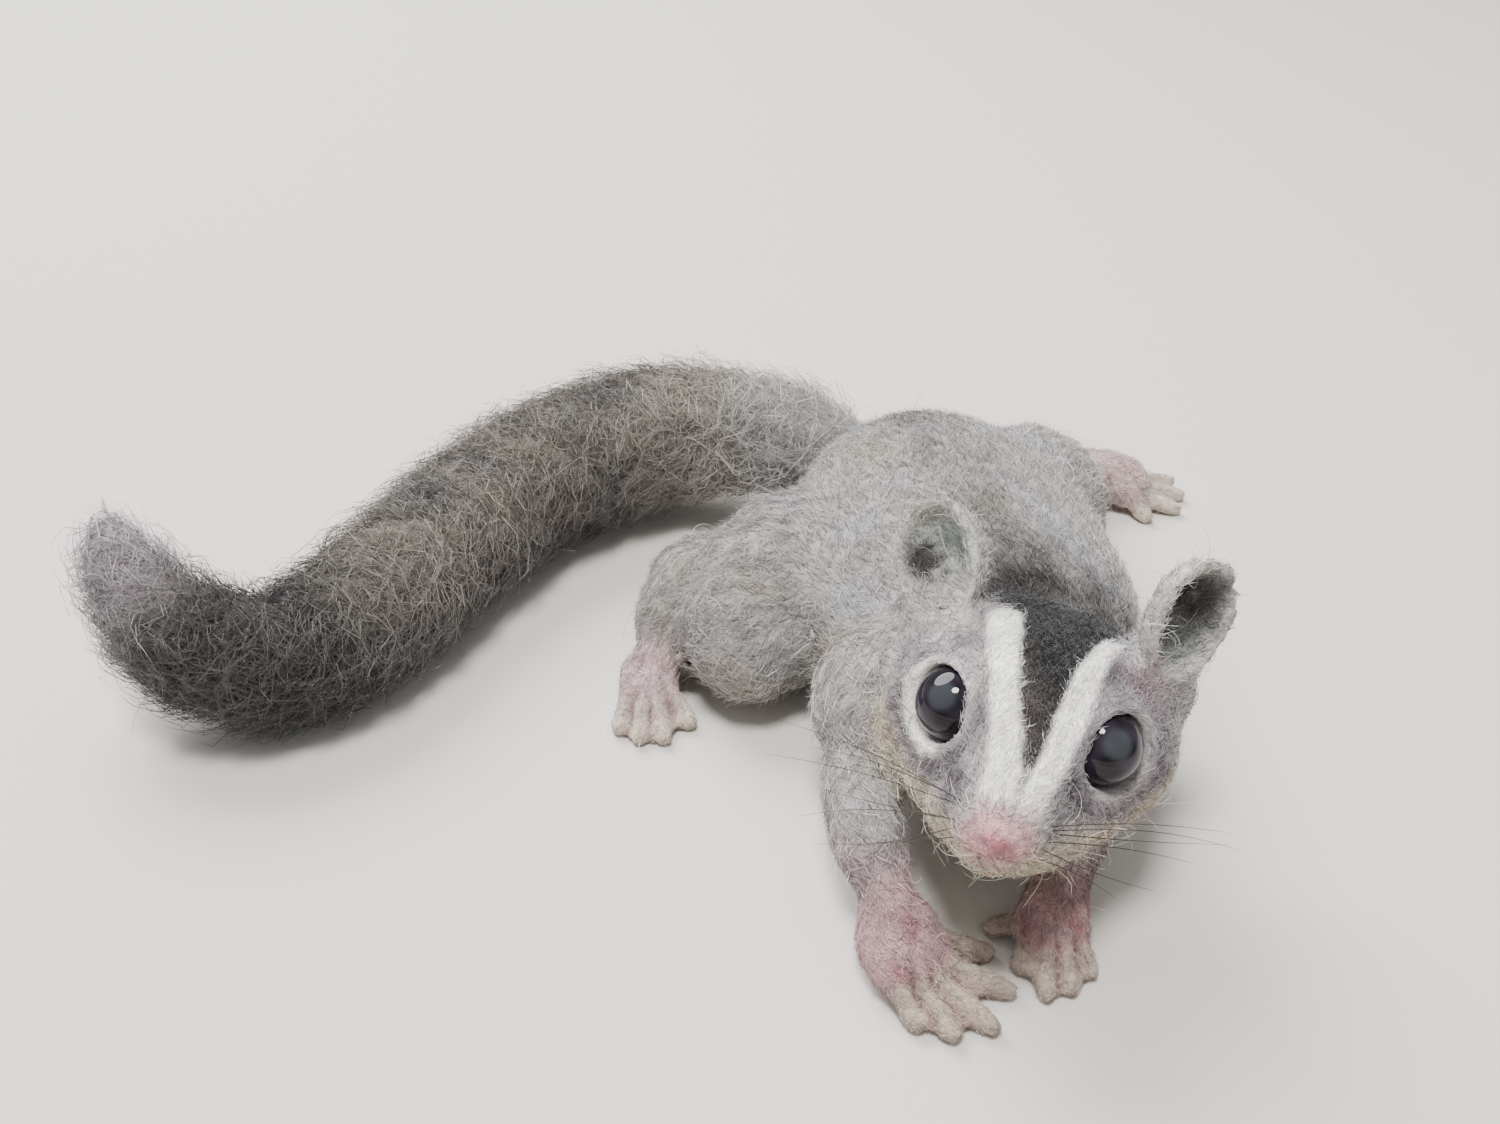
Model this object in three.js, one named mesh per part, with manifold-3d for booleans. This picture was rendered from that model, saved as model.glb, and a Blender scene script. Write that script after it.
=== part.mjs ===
// A needle-felted sugar glider at life size, crawling with its hind legs splayed.
// Millimetres, +Z up. The nose points along -Y and the animal's left side is +X.
import * as THREE from 'three';
import { mergeVertices } from 'three/addons/utils/BufferGeometryUtils.js';
import Module from 'manifold-3d';

const wasm = await Module();
wasm.setup();

// Driving sizes
const gap = 0.3; // left between neighbouring pieces
const eyeDiameter = 10; // glass ball
const eyeSpacing = 21; // between the centres of the two eye openings
const eyeTurn = 46; // degrees that each eye looks out from straight ahead
const rimWidth = 9.6; // felt ring round the eye opening
const rimThickness = 1.8;
const noseWidth = 6.6;
const noseHeight = 4.8;
const earLength = 17.5;
const earWidth = 14;
const earDepth = 6;
const earWall = 1.5;
const earSink = 2.5; // how far the foot of an ear goes into the head
const headPitch = 14; // degrees that the nose is raised
const headTurn = 17.8; // degrees that the nose is turned to the animal's right
const headRoll = 4.6; // degrees that the left side is lowered
const fingerThickness = 3.4;
const toeThickness = 3.2;
const dishDepth = 6; // of the shallow dish round each eye
const dishSpread = 1.1; // half its outer width, as a share of the rim's
const dishSink = 0.8; // how far the dish cuts in behind the eye opening

// Where the head sits: the midpoint between the two eye openings
const headPlace = [40, -39.5, 32];

const up = new THREE.Vector3(0, 0, 1);
const group = new THREE.Group();
const taken = []; // the room, with its gap, of every piece made so far

// Felt colours
const colours = {
  back: 0x8f8c8c,
  flank: 0xa5a2a2,
  face: 0xb4adad,
  tail: 0x6f6a66,
  paw: 0xcfa9a8,
  digit: 0xd9cdbd,
  nose: 0xd99aa2,
  ear: 0xa9a6a5,
  glass: 0x0d0b12,
};

function felt(colour) {
  return new THREE.MeshStandardMaterial({ color: colour, roughness: 0.95, metalness: 0 });
}

function glass() {
  return new THREE.MeshStandardMaterial({ color: colours.glass, roughness: 0.05, metalness: 0 });
}

function toSolid(geometry) {
  const bare = geometry.clone();
  bare.deleteAttribute('normal');
  bare.deleteAttribute('uv');
  const merged = mergeVertices(bare);
  const vertProperties = Float32Array.from(merged.attributes.position.array);
  const triVerts = Uint32Array.from(merged.index.array);
  return new wasm.Manifold(new wasm.Mesh({ numProp: 3, vertProperties, triVerts }));
}

function toGeometry(solid) {
  const mesh = solid.getMesh();
  const geometry = new THREE.BufferGeometry();
  geometry.setAttribute('position', new THREE.BufferAttribute(mesh.vertProperties, 3));
  geometry.setIndex(new THREE.BufferAttribute(mesh.triVerts, 1));
  geometry.computeVertexNormals();
  return geometry;
}

// A form runs through stations. Each has a centre and half its width and half its height.
// The bluntness says how squarely its two ends round off, and the end is its flat's share.
function form(stations, bluntness = 5, end = 0.15) {
  const centres = stations.map(({ at }) => new THREE.Vector3(...at));
  const halves = stations.map(({ wide, high = wide }) => new THREE.Vector3(wide, high, 0));
  return {
    spine: new THREE.CatmullRomCurve3(centres),
    girth: new THREE.CatmullRomCurve3(halves),
    bluntness,
    end,
  };
}

// One length of a form as a closed geometry, with flat ends where it is cut
function lengthOf(shape, { from = 0, to = 1, sides = 16, rings = 8, grow = 0 } = {}) {
  const geometry = new THREE.CylinderGeometry(1, 1, 1, sides, rings);
  const position = geometry.attributes.position;
  for (let i = 0; i < position.count; i += 1) {
    const share = from + (to - from) * (0.5 - position.getY(i));
    const along = (1 - Math.cos(Math.PI * share)) / 2;
    const centre = shape.spine.getPoint(along);
    const ahead = shape.spine.getTangent(along);
    const half = shape.girth.getPoint(along);
    const rounding = Math.sqrt(1 - Math.abs(2 * along - 1) ** shape.bluntness);
    const size = Math.max(rounding, shape.end);
    const side = up.clone().cross(ahead).normalize();
    const top = ahead.clone().cross(side);
    const onward = grow * Math.sign(share - 0.5) * (share === 0 || share === 1 ? 1 : 0);
    centre.addScaledVector(side, position.getX(i) * (half.x * size + grow));
    centre.addScaledVector(top, position.getZ(i) * (half.y * size + grow));
    centre.addScaledVector(ahead, onward);
    position.setXYZ(i, centre.x, centre.y, centre.z);
  }
  return geometry;
}

// A faceted ball, coarse for the small parts that it makes
function ball(radius, sides = 14, rings = 8) {
  return new THREE.SphereGeometry(radius, sides, rings);
}

// Everything stands on one level, so each piece that dips below it gets a small flat
const floorWidth = 600;
const floorDepth = 50;
const floorBlock = new THREE.BoxGeometry(floorWidth, floorWidth, floorDepth);
const underFloor = toSolid(floorBlock.translate(0, 0, -floorDepth / 2));

// Adds a piece, less the room of the pieces made before it
function addPiece(name, material, solid) {
  let rest = solid.subtract(underFloor);
  for (const room of taken) {
    rest = rest.subtract(room);
  }
  const mesh = new THREE.Mesh(toGeometry(rest), material);
  mesh.name = name;
  group.add(mesh);
}

// Adds a form as one or more lengths. Cuts are shares of the form, from 0 to 1.
function addForm(names, colour, shape, { sides = 16, rings = 8, cuts = [] } = {}) {
  const marks = [0, ...cuts, 1];
  const reach = shape.spine.getLength();
  const halfCut = gap / 2 / reach;
  names.forEach((name, i) => {
    const from = i === 0 ? 0 : marks[i] + halfCut;
    const to = i === names.length - 1 ? 1 : marks[i + 1] - halfCut;
    const share = Math.max(2, Math.round(rings * (to - from)));
    const geometry = lengthOf(shape, { from, to, sides, rings: share });
    addPiece(name, felt(colour), toSolid(geometry));
  });
  const grow = names.length > 1 ? gap * 1.6 : gap; // lengths have facets of their own
  taken.push(toSolid(lengthOf(shape, { sides, rings, grow })));
}

// Head frame: x to the animal's left, y backwards, z to the crown
const headFrame = new THREE.Matrix4()
  .makeTranslation(...headPlace)
  .multiply(new THREE.Matrix4().makeRotationZ(-THREE.MathUtils.degToRad(headTurn)))
  .multiply(new THREE.Matrix4().makeRotationX(-THREE.MathUtils.degToRad(headPitch)))
  .multiply(new THREE.Matrix4().makeRotationY(THREE.MathUtils.degToRad(headRoll)));

function onHead(geometry) {
  return toSolid(geometry.applyMatrix4(headFrame));
}

// Skull and muzzle, from the nose back to the nape
const skull = form([
  { at: [0, -16.6, -6.8], wide: 4.8, high: 4.2 },
  { at: [0, -12.5, -7], wide: 7, high: 6.6 },
  { at: [0, -7, -7], wide: 10.4, high: 10 },
  { at: [0, 0, -6.2], wide: 15, high: 12.8 },
  { at: [0, 7, -5.2], wide: 18.8, high: 14.2 },
  { at: [0, 14, -4.6], wide: 19.8, high: 14.6 },
  { at: [0, 21, -4.4], wide: 17, high: 13.2 },
  { at: [0, 27, -4.6], wide: 13, high: 10.6 },
], 8);

// An eye's own frame: z looks out of the head along the eye
function eyeFrame(side) {
  const turn = THREE.MathUtils.degToRad(eyeTurn);
  const outward = new THREE.Vector3(side * Math.sin(turn), -Math.cos(turn), 0.12).normalize();
  const rotation = new THREE.Quaternion().setFromUnitVectors(up, outward);
  const place = new THREE.Vector3(side * eyeSpacing / 2, 0, 0);
  return new THREE.Matrix4().compose(place, rotation, new THREE.Vector3(1, 1, 1));
}

const eyeSink = Math.sqrt((eyeDiameter / 2) ** 2 - (rimWidth / 2 - rimThickness / 4) ** 2);

function eyeball(side, radius) {
  return ball(radius).translate(0, 0, -eyeSink).applyMatrix4(eyeFrame(side));
}

function eyeRim(side) {
  const ring = new THREE.TorusGeometry(rimWidth / 2, rimThickness / 2, 5, 16);
  return ring.translate(0, 0, -rimThickness / 3).applyMatrix4(eyeFrame(side));
}

// The shallow dish that the face makes round each eye
function eyeDish(side) {
  const dish = new THREE.CylinderGeometry(rimWidth * dishSpread, rimWidth / 2, dishDepth, 14);
  dish.rotateX(Math.PI / 2).translate(0, 0, dishDepth / 2 - dishSink);
  return dish.applyMatrix4(eyeFrame(side));
}

const sides = [['right', -1], ['left', 1]];

let head = onHead(lengthOf(skull, { sides: 22, rings: 15 }));
for (const [, side] of sides) {
  head = head.subtract(onHead(eyeDish(side))).add(onHead(eyeRim(side)));
}
for (const [name, side] of sides) {
  const eye = new THREE.Mesh(toGeometry(onHead(eyeball(side, eyeDiameter / 2))), glass());
  eye.name = `eye_${name}`;
  group.add(eye);
  taken.push(onHead(eyeball(side, eyeDiameter / 2 + gap)));
}
addPiece('head', felt(colours.face), head);
taken.push(onHead(lengthOf(skull, { sides: 22, rings: 15, grow: gap })));

// Nose pad on the end of the muzzle
const noseDepth = 5.2;
const nose = ball(1, 10, 7)
  .scale(noseWidth / 2, noseDepth / 2, noseHeight / 2)
  .translate(0, -16.6, -6);
addPiece('nose', felt(colours.nose), onHead(nose));

// An ear is a thin oval cup. Its own frame has z along the ear and -y out of the cup.
function earCup() {
  const [wide, deep, long] = [earWidth / 2, earDepth, earLength / 2];
  const shell = toSolid(ball(1).scale(wide, deep, long));
  const hollow = toSolid(ball(1).scale(wide - earWall, deep - earWall, long - earWall));
  const openSide = new THREE.BoxGeometry(4 * wide, 2 * deep, 4 * long);
  const front = toSolid(openSide.translate(0, -deep, 0));
  return shell.subtract(hollow).subtract(front);
}

function addEar(name, root, axis, opening) {
  const z = new THREE.Vector3(...axis).normalize();
  const y = new THREE.Vector3(...opening).negate();
  y.addScaledVector(z, -y.dot(z)).normalize();
  const x = y.clone().cross(z);
  const middle = new THREE.Vector3(...root).addScaledVector(z, earLength / 2 - earSink);
  const frame = new THREE.Matrix4().makeBasis(x, y, z).setPosition(middle);
  const matrix = headFrame.clone().multiply(frame);
  addPiece(name, felt(colours.ear), earCup().transform(matrix.elements));
}

addEar('ear_right', [-14.8, 12.4, 6], [-0.28, 0.4, 0.87], [-0.5, -0.85, 0.2]);
addEar('ear_left', [15.6, 12, 6.6], [0.13, 0.3, 0.94], [0.68, -0.72, -0.05]);

// Trunk and neck: a low barrel from the rump to the back of the head
const trunk = form([
  { at: [31, 46, 16], wide: 15, high: 12 },
  { at: [33.5, 36, 17.5], wide: 20.5, high: 16 },
  { at: [36, 23, 18], wide: 24.5, high: 18.2 },
  { at: [38.5, 9, 17.6], wide: 26, high: 17.9 },
  { at: [42, -5, 17.8], wide: 24, high: 17.6 },
  { at: [45, -16, 20], wide: 20.5, high: 16 },
  { at: [45.5, -25, 21.5], wide: 16.5, high: 13 },
]);
const trunkNames = ['rump', 'loin', 'chest', 'neck'];
addForm(trunkNames, colours.back, trunk, { sides: 22, rings: 19, cuts: [0.36, 0.55, 0.71] });

// Tail: back from the rump, round to the right side and lying on the floor, with its tip raised
const tail = form([
  { at: [30, 34, 18], wide: 10, high: 10 },
  { at: [19, 47.5, 18], wide: 11.5, high: 11.5 },
  { at: [4, 55, 17], wide: 13, high: 13.4 },
  { at: [-14, 55.6, 15], wide: 14.2, high: 14.4 },
  { at: [-31, 44.5, 13.8], wide: 14.4, high: 13.8 },
  { at: [-43.6, 26, 13.2], wide: 13.8, high: 13.2 },
  { at: [-53, 7, 12.8], wide: 13.2, high: 12.8 },
  { at: [-65, -4, 11.8], wide: 12.2, high: 12.2 },
  { at: [-78.4, -2, 17], wide: 10.8, high: 11.4 },
  { at: [-87, 6, 24], wide: 8.6, high: 9.4 },
  { at: [-90.5, 13, 30], wide: 6.5, high: 7 },
], 7);
const tailNames = ['tail_1', 'tail_2', 'tail_3', 'tail_4', 'tail_5'];
addForm(tailNames, colours.tail, tail, { sides: 16, rings: 30, cuts: [0.32, 0.47, 0.6, 0.75] });

// Hind legs: thigh, shank and foot, then the toes
function addLeg(name, thigh, shank, foot) {
  addForm([`thigh_${name}`], colours.flank, form(thigh, 4), { sides: 16, rings: 7 });
  addForm([`shank_${name}`], colours.flank, form(shank, 4), { sides: 12, rings: 6 });
  addForm([`foot_${name}`], colours.paw, form(foot, 5), { sides: 12, rings: 6 });
}

// Digits run down from the knuckle and lie on the floor along their outer half
function addDigits(name, thickness, digits) {
  digits.forEach(({ knuckle, tip }, i) => {
    const half = thickness / 2;
    const middle = knuckle.map((value, axis) => (value + tip[axis]) / 2);
    const digit = form([
      { at: [...knuckle, half + 1], wide: half },
      { at: [...middle, half * 0.8 + 0.1], wide: half },
      { at: [...tip, half * 0.6], wide: half * 0.9 },
    ], 9, 0.65);
    addForm([`${name}_digit_${i + 1}`], colours.digit, digit, { sides: 6, rings: 3 });
  });
}

addLeg(
  'right',
  [
    { at: [27, 25, 14], wide: 11, high: 10 },
    { at: [13, 12, 14.5], wide: 15.6, high: 15 },
    { at: [2.4, -6.4, 8], wide: 9.4, high: 8.8 },
  ],
  [
    { at: [6, 20, 12.5], wide: 11, high: 12 },
    { at: [-3, 13, 10.5], wide: 8.6, high: 9.6 },
    { at: [-8.4, 4.5, 6.5], wide: 5, high: 6 },
  ],
  [
    { at: [-9, 8, 4.2], wide: 4.4, high: 4.3 },
    { at: [-8.8, 0.5, 3.4], wide: 5, high: 3.6 },
    { at: [-8, -5, 2.4], wide: 6, high: 2.6 },
  ],
);
addDigits('hind_right', toeThickness, [
  { knuckle: [-12, -3], tip: [-13, -7.2] },
  { knuckle: [-9.5, -4], tip: [-9.6, -9.4] },
  { knuckle: [-6.6, -4], tip: [-5.9, -9.4] },
  { knuckle: [-4, -1.5], tip: [-1.8, -6] },
]);

addLeg(
  'left',
  [
    { at: [42, 22, 14], wide: 12, high: 11 },
    { at: [53, 32, 15], wide: 15.6, high: 15.6 },
    { at: [62.5, 39, 14], wide: 12, high: 13 },
  ],
  [
    { at: [56, 41, 11], wide: 9, high: 10 },
    { at: [60, 50, 9.5], wide: 7.4, high: 8.6 },
    { at: [66, 57.5, 6.6], wide: 5, high: 5.6 },
  ],
  [
    { at: [66, 60, 5.8], wide: 5.2, high: 5.6 },
    { at: [74.5, 59, 4.6], wide: 6.6, high: 4.8 },
    { at: [82, 57.5, 2.9], wide: 7, high: 3.1 },
  ],
);
addDigits('hind_left', toeThickness, [
  { knuckle: [81, 61.6], tip: [88, 62.6] },
  { knuckle: [81, 58.4], tip: [88.8, 57.8] },
  { knuckle: [80.5, 55.2], tip: [87, 53] },
  { knuckle: [78, 53.4], tip: [80.6, 49.8] },
]);

// Front legs: upper arm, forearm and hand, then the fingers
function addArm(name, upper, fore, hand) {
  addForm([`upper_arm_${name}`], colours.flank, form(upper, 4), { sides: 12, rings: 6 });
  addForm([`forearm_${name}`], colours.flank, form(fore, 5), { sides: 10, rings: 6 });
  addForm([`hand_${name}`], colours.paw, form(hand, 5), { sides: 10, rings: 6 });
}

addArm(
  'right',
  [
    { at: [28, -12, 19], wide: 11, high: 12 },
    { at: [23, -21, 18], wide: 9, high: 10.5 },
    { at: [21, -28, 15], wide: 6.8, high: 8 },
  ],
  [
    { at: [21, -24, 16], wide: 6.6, high: 7.4 },
    { at: [21.8, -35, 12], wide: 6, high: 6.6 },
    { at: [24, -45, 8], wide: 5, high: 4.8 },
  ],
  [
    { at: [23.6, -43, 7], wide: 4.8, high: 4.6 },
    { at: [26, -49.5, 4.2], wide: 6.4, high: 4 },
    { at: [28.6, -55, 2.6], wide: 6.4, high: 3 },
  ],
);
addDigits('front_right', fingerThickness, [
  { knuckle: [30, -47], tip: [38, -48.4] },
  { knuckle: [31.5, -51.5], tip: [40, -54.2] },
  { knuckle: [30.5, -54], tip: [37, -59.8] },
  { knuckle: [28.5, -55.5], tip: [31.9, -61] },
  { knuckle: [25.6, -55], tip: [27.6, -59.6] },
]);

addArm(
  'left',
  [
    { at: [53, -10, 18], wide: 11, high: 12 },
    { at: [55, -19, 16.5], wide: 9, high: 10 },
    { at: [53, -27, 14], wide: 6.8, high: 8 },
  ],
  [
    { at: [53.5, -24, 14.5], wide: 6.6, high: 7.4 },
    { at: [50, -34, 11], wide: 6, high: 6.4 },
    { at: [46.4, -42, 8], wide: 4.8, high: 4.8 },
  ],
  [
    { at: [46.6, -40, 7], wide: 4.6, high: 4.6 },
    { at: [45.6, -46, 4.2], wide: 5.2, high: 4 },
    { at: [45, -50.4, 2.6], wide: 5.2, high: 3 },
  ],
);
addDigits('front_left', fingerThickness * 0.94, [
  { knuckle: [42, -44], tip: [37.2, -44.2] },
  { knuckle: [42.4, -48], tip: [40.4, -51] },
  { knuckle: [44, -50], tip: [43.6, -55.2] },
  { knuckle: [46.4, -50], tip: [47, -54.4] },
  { knuckle: [48.6, -48], tip: [50, -51.8] },
]);

// The origin is the middle of the whole figure, on the floor
const middle = new THREE.Box3().setFromObject(group).getCenter(new THREE.Vector3());
group.position.set(-middle.x, -middle.y, 0);

export default group;
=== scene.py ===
import math

import bpy
import numpy as np
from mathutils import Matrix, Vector
from mathutils.bvhtree import BVHTree


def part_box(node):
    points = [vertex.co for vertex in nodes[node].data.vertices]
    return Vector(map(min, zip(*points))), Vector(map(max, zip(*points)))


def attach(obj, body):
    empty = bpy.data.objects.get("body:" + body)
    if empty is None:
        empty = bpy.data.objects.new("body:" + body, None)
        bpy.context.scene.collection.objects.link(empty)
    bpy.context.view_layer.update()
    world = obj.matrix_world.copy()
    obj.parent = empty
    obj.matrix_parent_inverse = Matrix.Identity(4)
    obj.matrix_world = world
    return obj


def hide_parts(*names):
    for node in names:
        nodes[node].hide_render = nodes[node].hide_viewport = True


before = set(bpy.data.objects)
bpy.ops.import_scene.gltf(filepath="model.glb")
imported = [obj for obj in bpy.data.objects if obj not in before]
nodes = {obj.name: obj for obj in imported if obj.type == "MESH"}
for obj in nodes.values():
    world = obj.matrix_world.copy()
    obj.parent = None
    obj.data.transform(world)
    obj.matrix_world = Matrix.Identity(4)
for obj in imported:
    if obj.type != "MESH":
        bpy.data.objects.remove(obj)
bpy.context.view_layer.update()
mm = 0.001  # the numbers below are millimetres, the scene is in metres

glassNodes = ["eye_left", "eye_right"]
fleshNodes = sorted(name for name in nodes if name not in glassNodes)


# small helpers

def unit(vectors):
    size = np.linalg.norm(vectors, axis=-1, keepdims=True)
    return vectors / np.maximum(size, 1e-9)


def turnMatrix(axis, degrees):
    a = math.radians(degrees)
    c, s = math.cos(a), math.sin(a)
    if axis == "x":
        return np.array([[1, 0, 0], [0, c, -s], [0, s, c]])
    if axis == "y":
        return np.array([[c, 0, s], [0, 1, 0], [-s, 0, c]])
    return np.array([[c, -s, 0], [s, c, 0], [0, 0, 1]])


def between(low, high, values):  # 0 below low, 1 above high, smooth in the middle
    t = np.clip((values - low) / (high - low), 0, 1)
    return t * t * (3 - 2 * t)


def hill(values, middle=0.0, half=1.0):  # 1 at the middle and fading to both sides
    return np.exp(-((values - middle) / half) ** 2)


def ripples(points, size, seed, waves=16):  # smooth noise, about -1 to 1, size in mm
    draw = np.random.default_rng(seed)
    ways = unit(draw.normal(size=(waves, 3))) * draw.uniform(0.6, 1.7, (waves, 1)) * 2 * math.pi / size
    phases = draw.uniform(0, 2 * math.pi, waves)
    return np.sin(points @ ways.T + phases).sum(1) / math.sqrt(waves)


def shade(hexCode):  # a colour as the eye reads it, made linear
    parts = np.array([int(hexCode[i:i + 2], 16) / 255 for i in (0, 2, 4)])
    return np.where(parts > 0.04045, ((parts + 0.055) / 1.055) ** 2.4, parts / 12.92)


def middleOf(name):
    low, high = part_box(name)
    return np.array((low + high) / 2) / mm


def readArray(items, attribute, width, kind=float):
    flat = np.zeros(len(items) * width, kind)
    items.foreach_get(attribute, flat)
    return flat.reshape(-1, width)


def readPoints(mesh):
    return readArray(mesh.vertices, "co", 3) / mm


def nodePoints(name):
    return readPoints(nodes[name].data)


def linked(name, data):  # a new object in the scene
    thing = bpy.data.objects.new(name, data)
    bpy.context.scene.collection.objects.link(thing)
    return thing


# the head's own axes: x to its left, y backwards, z to the crown

face = {
    "pitch": 14, "turn": 17.8, "roll": 4.6, "eyeTurn": 46, "eyeLift": 0.12, "eyeSink": 2.47, "eyeRadius": 5.0,
    "rimRadius": 4.8, "foldOut": 3.0, "glassClear": 5.0, "nostril": (0.1, -18.6, -6.2), "nostrilApart": 1.9,
    "mouthLevel": -9.4,
}

headTurn = turnMatrix("z", -face["turn"]) @ turnMatrix("x", -face["pitch"]) @ turnMatrix("y", face["roll"])


def eyeWay(side):
    a = math.radians(face["eyeTurn"])
    way = np.array([side * math.sin(a), -math.cos(a), face["eyeLift"]])
    return way / np.linalg.norm(way)


eyeBalls = {1: middleOf("eye_left"), -1: middleOf("eye_right")}
eyeWays = {side: headTurn @ eyeWay(side) for side in (1, -1)}
eyeOpenings = {side: eyeBalls[side] + eyeWays[side] * face["eyeSink"] for side in (1, -1)}
headPlace = (eyeOpenings[1] + eyeOpenings[-1]) / 2


def onHead(points):
    return (points - headPlace) @ headTurn


def offHead(points):
    return np.asarray(points, float) @ headTurn.T + headPlace


# what each kind of felt is like, in mm

kinds = {
    "head": {"coat": 0.7, "fibres": 3.4, "nap": 1.3, "long": 0.0},
    "ear": {"coat": 0.15, "fibres": 2.6, "nap": 2.0, "long": 0.0},
    "nose": {"coat": 0.4, "fibres": 3.6, "nap": 0.3, "long": 0.0},
    "trunk": {"coat": 1.3, "fibres": 1.7, "nap": 2.0, "long": 0.0},
    "limb": {"coat": 1.0, "fibres": 2.2, "nap": 1.7, "long": 0.0},
    "paw": {"coat": 0.4, "fibres": 4.2, "nap": 2.2, "long": 0.0},
    "digit": {"coat": 0.05, "fibres": 6.0, "nap": 3.0, "long": 0.0},
    "tail": {"coat": 3.0, "fibres": 0.9, "nap": 0.2, "long": 1.35},
}


kindWords = {"digit": "digit", "ear": "ear", "head": "head", "nose": "nose", "tail": "tail", "foot": "paw",
             "hand": "paw"}


def kindOf(name):
    for word, kind in kindWords.items():
        if word in name and not (word == "ear" and "forearm" in name):
            return kind
    return "limb" if any(word in name for word in ("arm", "thigh", "shank")) else "trunk"


digitNodes = [name for name in fleshNodes if kindOf(name) == "digit"]


def holdOf(digit):  # the hand or foot that a digit grows from
    end, side = digit.split("_")[:2]
    return f"hand_{side}" if end == "front" else f"foot_{side}"


# the way the wool lies on each node: from the nose back along the body and out along each limb

def endOf(name, near):  # the middle of the node's points farthest from another node's middle
    points = nodePoints(name)
    away = np.linalg.norm(points - middleOf(near), axis=1)
    return points[away > np.quantile(away, 0.85)].mean(0)


def layNodes():
    lies = {"head": headTurn[:, 1], "nose": headTurn[:, 1]}
    chains = [["head", "neck", "chest", "loin", "rump", "tail_1", "tail_2", "tail_3", "tail_4", "tail_5"]]
    for side in ("left", "right"):
        chains.append(["chest", f"upper_arm_{side}", f"forearm_{side}", f"hand_{side}"])
        chains.append(["loin", f"thigh_{side}", f"shank_{side}", f"foot_{side}"])
        chains.append(["head", f"ear_{side}"])
    for chain in chains:
        stops = [middleOf(name) for name in chain] + [endOf(chain[-1], chain[-2])]
        for i, name in enumerate(chain):
            if name not in lies and i > 0:
                lies[name] = stops[i + 1] - stops[i - 1]
    for name in digitNodes:
        lies[name] = endOf(name, holdOf(name)) - middleOf(holdOf(name))
    return {name: unit(way) for name, way in lies.items()}


# skin: the flesh nodes grown together, smoothed and sunk by the coat's depth

skinSettings = {"swell": 0.36, "voxel": 0.72, "smoothing": 8, "fineSmoothing": 3, "filling": 130,
                "spread": 26, "mostFilled": 4, "fillShare": 1.25, "floorGap": 0.1}

# wads of felt inside the limbs that bridge their narrow joints: from, to, radius
limbWads = [("thigh", "shank", 7.5), ("shank", "foot", 4.4), ("upper_arm", "forearm", 6.0),
            ("forearm", "hand", 4.4)]
# a wad behind the foot of each ear, in the head's axes
earWads = {"places": [(-15, 17, 1), (15, 17, 1)], "radius": 5.5}
wadsPerJoint = 6


def wad(centre, radius, rows=8, columns=12):  # a small closed ball
    points = [centre + np.array([0, 0, radius])]
    for i in range(1, rows):
        a = math.pi * i / rows
        for j in range(columns):
            b = 2 * math.pi * j / columns
            way = np.array([math.sin(a) * math.cos(b), math.sin(a) * math.sin(b), math.cos(a)])
            points.append(centre + radius * way)
    points.append(centre - np.array([0, 0, radius]))
    faces, last = [], len(points) - 1
    for j in range(columns):
        k = (j + 1) % columns
        faces += [[0, 1 + j, 1 + k], [last, last - columns + k, last - columns + j]]
        for i in range(rows - 2):
            a, b = 1 + i * columns + j, 1 + i * columns + k
            faces += [[a, a + columns, b + columns], [a, b + columns, b]]
    return np.array(points), np.array(faces)


def wads():
    found = [(wad(offHead(place), earWads["radius"]), "head") for place in earWads["places"]]
    for side in ("left", "right"):
        for start, end, radius in limbWads:
            a, b = middleOf(f"{start}_{side}"), middleOf(f"{end}_{side}")
            for share in np.linspace(0.1, 0.9, wadsPerJoint):
                centre = a + (b - a) * share
                centre[2] = max(centre[2], radius + 0.3)
                found.append((wad(centre, radius), f"{start if share < 0.5 else end}_{side}"))
    return found


def grownTogether():
    corners, triangles, owners, count = [], [], [], 0
    for (points, faces), name in wads():
        corners.append(points)
        triangles.append(faces + count)
        owners += [name] * len(faces)
        count += len(points)
    for name in fleshNodes:
        mesh = nodes[name].data
        mesh.calc_loop_triangles()
        points = nodePoints(name)
        rounded, same = np.unique(np.round(points, 4), axis=0, return_inverse=True)
        same = same.reshape(-1)
        faces = same[np.array([triangle.vertices[:] for triangle in mesh.loop_triangles])]
        a, b, c = (rounded[faces[:, k]] for k in range(3))
        flat = np.cross(b - a, c - a)
        normals = np.zeros_like(rounded)
        for k in range(3):
            np.add.at(normals, faces[:, k], flat)
        corners.append(rounded + unit(normals) * skinSettings["swell"])
        triangles.append(faces + count)
        owners += [name] * len(faces)
        count += len(rounded)
    return np.concatenate(corners), np.concatenate(triangles), owners


def newMesh(name, points, faces):
    mesh = bpy.data.meshes.new(name)
    mesh.from_pydata((points * mm).tolist(), [], faces.tolist())
    mesh.update()
    return mesh


def remeshed(mesh):
    thing = linked("draft", mesh)
    remesh = thing.modifiers.new("remesh", "REMESH")
    remesh.mode = "VOXEL"
    remesh.voxel_size = skinSettings["voxel"] * mm
    graph = bpy.context.evaluated_depsgraph_get()
    done = bpy.data.meshes.new_from_object(thing.evaluated_get(graph))
    bpy.data.objects.remove(thing)
    return done


def readNormals(mesh):
    return readArray(mesh.vertex_normals, "vector", 3)


def writePoints(mesh, points):
    mesh.vertices.foreach_set("co", (points * mm).astype(np.float32).ravel())
    mesh.update()


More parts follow.
